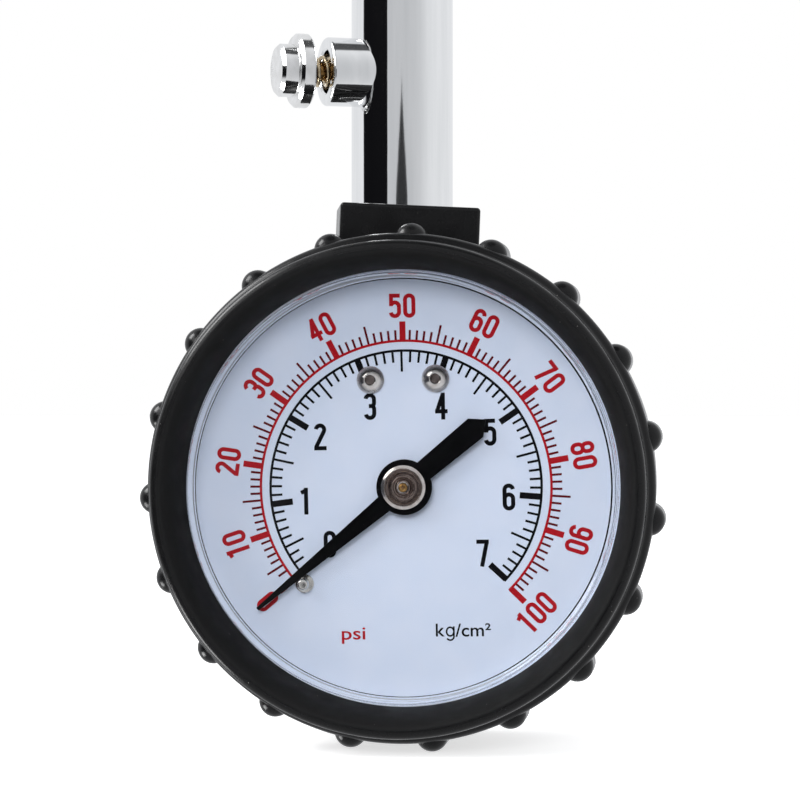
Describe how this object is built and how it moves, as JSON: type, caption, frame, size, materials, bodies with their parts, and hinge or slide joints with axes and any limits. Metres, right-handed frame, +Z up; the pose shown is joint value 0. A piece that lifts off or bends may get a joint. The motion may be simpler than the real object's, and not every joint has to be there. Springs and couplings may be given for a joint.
{
  "type": "tyre pressure gauge",
  "caption": "Dial tyre pressure gauge in a ribbed rubber boot on a rigid chromed stem, with a side bleed button and an angled chuck for the tyre valve.",
  "frame": {"origin": "middle of the gauge's box, on the level of the boot's lowest ribs", "axes": "+Z up the stem, -Y out of the dial towards the reader, +X to the reader's right"},
  "size_m": [0.0582, 0.0392, 0.1712],
  "materials": {
    "boot_rubber": "satin moulded black rubber",
    "case_black": "black enamelled steel",
    "window": "clear acrylic",
    "seal_rubber": "black nitrile",
    "ring_white": "white plastic",
    "dial_white": "white enamel with printed scales",
    "screw_chrome": "bright plated",
    "pin_nickel": "nickel plated",
    "pointer_black": "satin black",
    "bush_nickel": "turned, nickel plated",
    "arbor_bronze": "turned bronze",
    "spring_steel": "drawn wire",
    "brass": "machined",
    "tube_bronze": "drawn phosphor bronze",
    "steel": "bright steel",
    "fibre": "vulcanised fibre",
    "stem_chrome": "polished chrome plate on brass",
    "button_chrome": "turned, chrome plated"
  },
  "bodies": {
    "gauge": {"boot": "boot_rubber", "gauge_case": "case_black", "lens": "window", "lens_gasket": "seal_rubber", "spacer_ring": "ring_white", "dial_plate": "dial_white", "dial_screws": "screw_chrome", "stop_pin": "pin_nickel", "hairspring": "spring_steel", "hairspring_stud": "brass", "front_plate": "brass", "rear_plate": "brass", "plate_pillars": "brass", "plate_screws": "steel", "bourdon_tube": "tube_bronze", "tube_end_cap": "brass", "socket": "brass", "restrictor": "brass", "socket_washer": "fibre", "stem_body": "stem_chrome", "bleed_seat": "brass", "bleed_spring": "spring_steel", "check_seat": "brass", "check_spring": "spring_steel", "chuck_body": "stem_chrome", "chuck_washer": "fibre", "chuck_nose": "stem_chrome", "chuck_seal": "seal_rubber", "depressor_pin": "brass"},
    "pointer": {"pointer": "pointer_black", "pointer_bush": "bush_nickel", "pinion_shaft": "arbor_bronze"},
    "sector": {"sector_gear": "brass", "sector_shaft": "steel"},
    "link": {"link": "steel", "link_pins": "steel"},
    "bleed_valve": {"bleed_button": "button_chrome", "bleed_plunger": "arbor_bronze", "bleed_seal": "seal_rubber"},
    "check_valve": {"check_poppet": "brass", "check_seal": "seal_rubber"}
  },
  "joints": [
    {"name": "pointer_turn", "type": "hinge", "parent": "gauge", "child": "pointer", "pos_m": [0.00009, -0.00779, 0.02899], "axis": [0, 1, 0], "range_deg": [0, 263.4], "stiffness_Nm_per_rad": 0.00005, "springref_deg": -57.3, "deforming": ["hairspring"]},
    {"name": "sector_turn", "type": "hinge", "parent": "gauge", "child": "sector", "pos_m": [-0.00964, -0.00779, 0.02217], "axis": [0, 1, 0], "range_deg": [-26.5, 0]},
    {"name": "link_swing", "type": "hinge", "parent": "sector", "child": "link", "pos_m": [-0.015, -0.00779, 0.02341], "axis": [0, 1, 0], "range_deg": [0, 24]},
    {"name": "bleed_press", "type": "slide", "parent": "gauge", "child": "bleed_valve", "axis": [0.9178, 0.3971, 0], "range_m": [0, 0.0019], "stiffness_N_per_m": 400, "springref_m": -0.002, "deforming": ["bleed_spring"]},
    {"name": "check_open", "type": "slide", "parent": "gauge", "child": "check_valve", "axis": [0, 0, -1], "range_m": [0, 0.0015], "stiffness_N_per_m": 100, "springref_m": -0.001, "deforming": ["check_spring"]}
  ],
  "couplings": [
    {"joint": "sector_turn", "follows": "pointer_turn", "ratio": -0.1},
    {"joint": "link_swing", "follows": "pointer_turn", "ratio": 0.090602}
  ]
}
